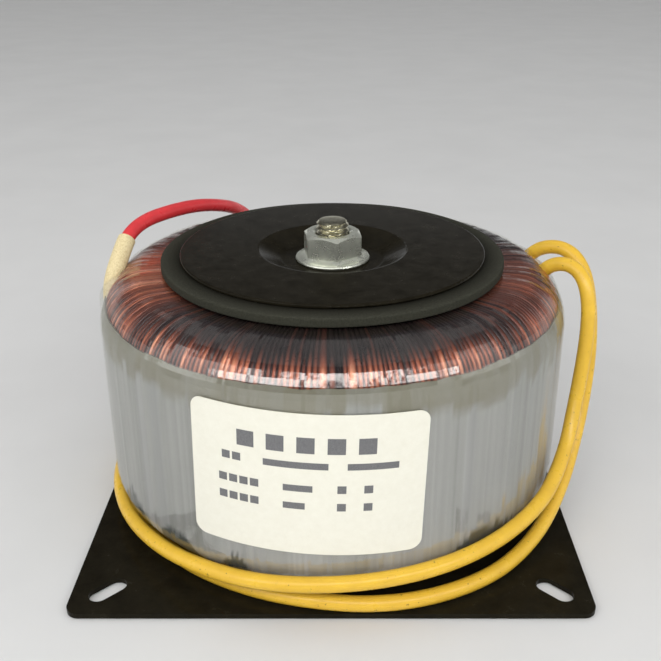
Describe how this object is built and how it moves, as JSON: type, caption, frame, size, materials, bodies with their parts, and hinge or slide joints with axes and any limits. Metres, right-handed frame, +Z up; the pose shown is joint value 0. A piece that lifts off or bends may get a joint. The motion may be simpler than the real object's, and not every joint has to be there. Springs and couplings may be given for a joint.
{
  "type": "toroidal transformer",
  "caption": "Wound toroidal mains transformer clamped between rubber pads on a square slotted steel foot plate, with flying leads.",
  "frame": {"origin": "centre of the foot plate's underside", "axes": "+Z up along the centre bolt, label on the -Y side, leads leave the shoulder on the +X and -X sides"},
  "size_m": [0.1229, 0.1224, 0.0706],
  "materials": {
    "black_steel": "gloss black paint",
    "zinc_steel": "bright zinc plate",
    "pad_rubber": "matt",
    "core_steel": "wound grain-oriented strip",
    "inner_film": "polyester tape",
    "copper_wire": "enamelled copper",
    "band_grey": "matt",
    "clear_film": "clear gloss",
    "label_paper": "satin",
    "yellow_pvc": "satin",
    "red_pvc": "satin",
    "cream_sleeve": "satin",
    "tinned_copper": "tinned strands"
  },
  "bodies": {
    "root": {"base_plate": "black_steel", "centre_bolt": "zinc_steel", "lower_pad": "pad_rubber", "core": "core_steel", "core_insulation": "inner_film", "primary_winding": "copper_wire", "winding_insulation": "inner_film", "secondary_winding": "copper_wire", "barrier_band": "band_grey", "film_wrap": "clear_film", "label": "label_paper", "upper_pad": "pad_rubber", "top_dish": "black_steel", "flange_nut": "zinc_steel", "yellow_lead_1": "yellow_pvc", "yellow_lead_2": "yellow_pvc", "red_lead": "red_pvc", "lead_sleeve": "cream_sleeve", "yellow_end_1": "tinned_copper", "yellow_end_2": "tinned_copper", "red_end": "tinned_copper"}
  },
  "joints": []
}
